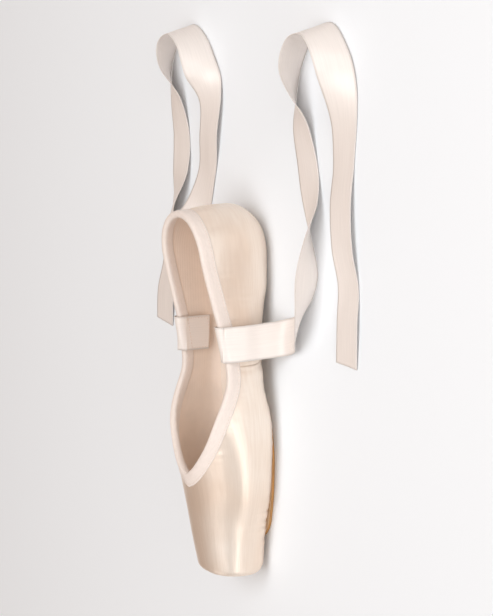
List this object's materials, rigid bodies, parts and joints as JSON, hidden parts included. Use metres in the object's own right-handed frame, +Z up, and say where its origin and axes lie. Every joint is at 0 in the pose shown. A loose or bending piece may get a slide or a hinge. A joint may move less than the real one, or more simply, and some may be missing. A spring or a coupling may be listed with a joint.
{
  "type": "pointe shoe",
  "caption": "Satin pointe shoe with a stiff box and flat platform, leather outsole, drawstring casing and two loose ribbons",
  "frame": {"origin": "on the floor under the middle of the shoe without its ribbons, halfway along its length and its width", "axes": "+X towards the toe, +Z up from the floor, +Y to the shoe's left side, so the shoe mirrors across Y"},
  "size_m": [0.3432, 0.2555, 0.0544],
  "materials": {
    "satin": "peach pink satin with a soft sheen",
    "sole_leather": "buffed tan leather with a brown cut edge",
    "canvas": "matte cream canvas lining",
    "casing_tape": "pale matte pink tape",
    "ribbon_satin": "pale pink satin ribbon with woven edges"
  },
  "bodies": {
    "root": {"upper": "satin", "outsole": "sole_leather", "insole": "canvas", "drawstring_casing": "casing_tape", "ribbon_left": "ribbon_satin", "ribbon_right": "ribbon_satin"}
  },
  "joints": []
}
